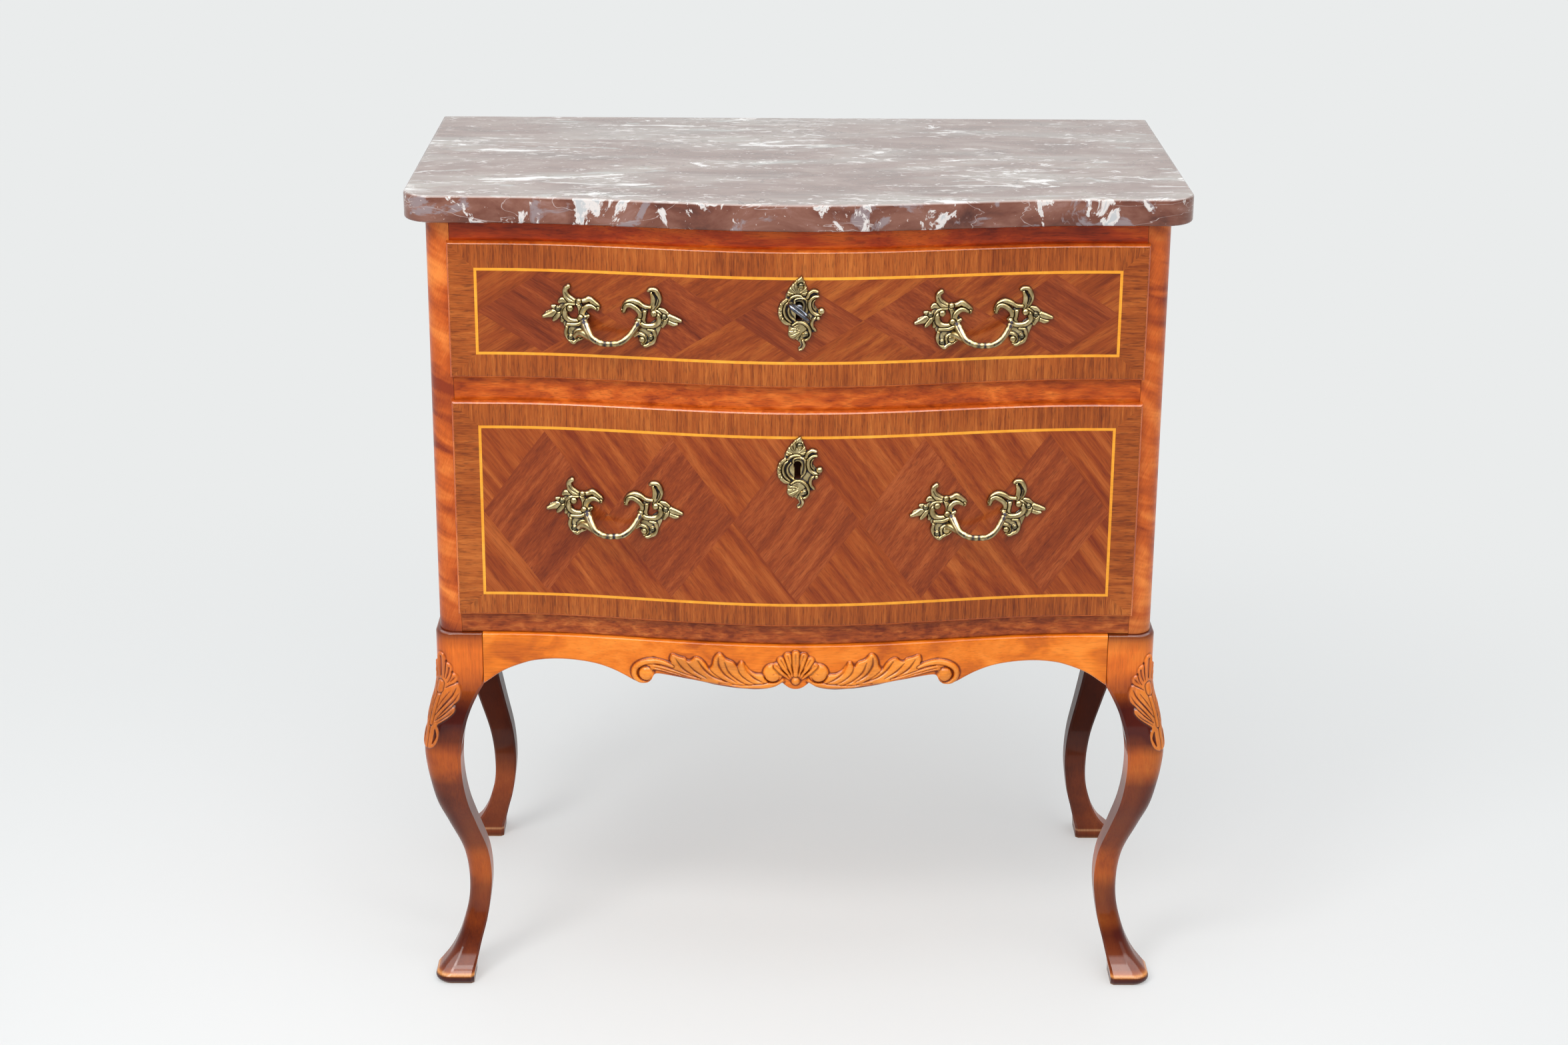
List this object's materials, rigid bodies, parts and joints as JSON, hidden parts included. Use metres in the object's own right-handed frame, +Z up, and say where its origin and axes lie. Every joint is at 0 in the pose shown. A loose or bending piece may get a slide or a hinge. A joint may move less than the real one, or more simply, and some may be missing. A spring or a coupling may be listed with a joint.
{
  "type": "commode chest",
  "caption": "Rococo commode chest with a marble slab, bowed lockable drawers, cast handles and a leg frame with cabriole legs and a carved apron.",
  "frame": {"origin": "on the floor, under the middle of the chest's box, which runs from the key's bow to the back feet", "axes": "+X towards the chest's right as the picture shows it, +Y towards its back, +Z up; the drawers open towards -Y"},
  "size_m": [0.75, 0.4508, 0.835],
  "materials": {
    "marble": "polished",
    "birch": "gloss",
    "rail_wood": "gloss",
    "veneer": "gloss",
    "inner_wood": "matte",
    "brass": "satin",
    "steel": "satin"
  },
  "bodies": {
    "case": {"marble_top": "marble", "left_front_post": "birch", "right_front_post": "birch", "left_side_panel": "birch", "right_side_panel": "birch", "back_panel": "inner_wood", "bottom_board": "inner_wood", "top_back_rail": "inner_wood", "left_kicker": "inner_wood", "right_kicker": "inner_wood", "bottom_rail": "rail_wood", "middle_rail": "rail_wood", "top_rail": "rail_wood", "left_lower_runner": "inner_wood", "right_lower_runner": "inner_wood", "left_upper_runner": "inner_wood", "right_upper_runner": "inner_wood", "front_left_leg": "birch", "front_right_leg": "birch", "back_left_leg": "birch", "back_right_leg": "birch", "front_apron": "birch", "back_apron": "birch", "left_apron": "birch", "right_apron": "birch", "left_front_glue_block": "inner_wood", "right_front_glue_block": "inner_wood", "left_back_glue_block": "inner_wood", "right_back_glue_block": "inner_wood"},
    "upper_drawer": {"upper_drawer_front": "veneer", "upper_drawer_left_side": "inner_wood", "upper_drawer_right_side": "inner_wood", "upper_drawer_bottom": "inner_wood", "upper_drawer_back": "inner_wood", "upper_lock_case": "steel", "upper_left_handle": "brass", "upper_right_handle": "brass", "upper_escutcheon": "brass", "upper_escutcheon_pin_1": "brass", "upper_escutcheon_pin_2": "brass"},
    "lower_drawer": {"lower_drawer_front": "veneer", "lower_drawer_left_side": "inner_wood", "lower_drawer_right_side": "inner_wood", "lower_drawer_bottom": "inner_wood", "lower_drawer_back": "inner_wood", "lower_lock_case": "steel", "lower_left_handle": "brass", "lower_right_handle": "brass", "lower_escutcheon": "brass", "lower_escutcheon_pin_1": "brass", "lower_escutcheon_pin_2": "brass"},
    "upper_bolt": {"upper_lock_bolt": "steel"},
    "lower_bolt": {"lower_lock_bolt": "steel"},
    "key": {"key": "steel"}
  },
  "joints": [
    {"name": "upper_drawer_slide", "type": "slide", "parent": "case", "child": "upper_drawer", "axis": [0, -1, 0], "range_m": [0, 0.27]},
    {"name": "lower_drawer_slide", "type": "slide", "parent": "case", "child": "lower_drawer", "axis": [0, -1, 0], "range_m": [0, 0.27]},
    {"name": "key_turn", "type": "hinge", "parent": "upper_drawer", "child": "key", "pos_m": [0, -0.2, 0.7364], "axis": [0, -1, 0], "range_deg": [0, 90]},
    {"name": "upper_bolt_slide", "type": "slide", "parent": "upper_drawer", "child": "upper_bolt", "axis": [0, 0, 1], "range_m": [0, 0.008]},
    {"name": "lower_bolt_slide", "type": "slide", "parent": "lower_drawer", "child": "lower_bolt", "axis": [0, 0, 1], "range_m": [0, 0.008]}
  ],
  "couplings": [
    {"joint": "key_turn", "follows": "upper_bolt_slide", "rad_per_m": 196.34}
  ]
}
